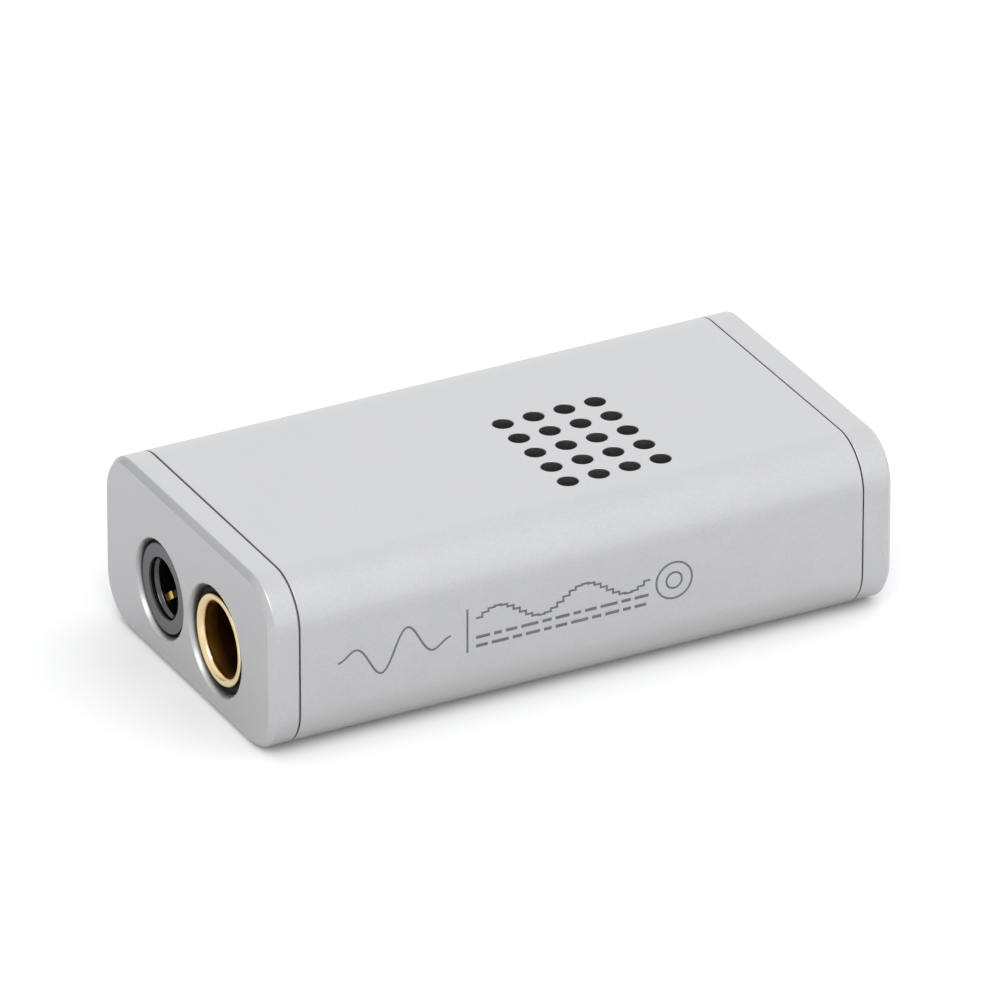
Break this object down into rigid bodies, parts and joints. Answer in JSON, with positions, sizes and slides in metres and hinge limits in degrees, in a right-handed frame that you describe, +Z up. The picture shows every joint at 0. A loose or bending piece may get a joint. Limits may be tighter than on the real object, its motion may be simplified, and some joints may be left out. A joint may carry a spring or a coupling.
{
  "type": "portable usb dac",
  "caption": "Pocket USB-C audio converter in a rounded silver metal case, with headphone jacks in an end cap, a vent grid on top and side volume buttons.",
  "frame": {"origin": "middle of the underside of the metal case", "axes": "+X along the length from the headphone jacks to the USB-C port, +Z up through the vented face, -Y out of the long side that carries the surface marking"},
  "size_m": [0.0402, 0.0215, 0.0109],
  "materials": {
    "silver_anodised": "fine bead-blasted silver anodising, soft sheen",
    "bond_line": "dark matt adhesive",
    "laser_mark": "dark grey laser marking, dull",
    "screw_steel": "plated steel, satin",
    "black_mesh": "black woven dust mesh",
    "amber_film": "glossy polyimide film",
    "board_laminate": "dark green solder mask over laminate",
    "black_plastic": "moulded black plastic, slight sheen",
    "grey_ring": "dull dark grey",
    "gold_plate": "polished gold plating",
    "port_steel": "drawn nickel-plated steel",
    "chip_resin": "matt moulded epoxy",
    "ferrite": "dull grey ferrite",
    "tantalum_case": "moulded orange-brown epoxy",
    "ceramic": "sintered tan ceramic",
    "led_lens": "milky moulded lens",
    "white_plastic": "moulded white plastic"
  },
  "bodies": {
    "enclosure": {"body_sleeve": "silver_anodised", "front_cap": "silver_anodised", "front_cap_bond": "bond_line", "rear_cap": "silver_anodised", "rear_cap_screws": "screw_steel", "vent_mesh": "black_mesh", "insulating_film": "amber_film", "circuit_board": "board_laminate", "small_jack_housing": "black_plastic", "small_jack_ring": "grey_ring", "small_jack_contacts": "gold_plate", "large_jack_housing": "black_plastic", "large_jack_barrel": "gold_plate", "large_jack_contacts": "gold_plate", "jack_detect_contacts": "gold_plate", "usb_c_shell": "port_steel", "usb_c_tongue": "black_plastic", "usb_c_contacts": "gold_plate", "dac_chips": "chip_resin", "usb_bridge_chip": "chip_resin", "flash_chip": "chip_resin", "crystal_oscillators": "port_steel", "voltage_regulators": "chip_resin", "ferrite_inductors": "ferrite", "tantalum_capacitors": "tantalum_case", "ceramic_capacitors": "ceramic", "chip_resistors": "chip_resin", "status_led": "led_lens", "switch_housings": "black_plastic", "switch_covers": "port_steel", "switch_domes": "port_steel", "switch_terminals": "port_steel"},
    "volume_up": {"volume_up_button": "silver_anodised", "volume_up_plunger": "white_plastic"},
    "volume_down": {"volume_down_button": "silver_anodised", "volume_down_plunger": "white_plastic"}
  },
  "joints": [
    {"name": "volume_up_press", "type": "slide", "parent": "enclosure", "child": "volume_up", "axis": [0, -1, 0], "range_m": [0, 0.00025], "stiffness_N_per_m": 4000, "springref_m": -0.00005},
    {"name": "volume_down_press", "type": "slide", "parent": "enclosure", "child": "volume_down", "axis": [0, -1, 0], "range_m": [0, 0.00025], "stiffness_N_per_m": 4000, "springref_m": -0.00005}
  ]
}
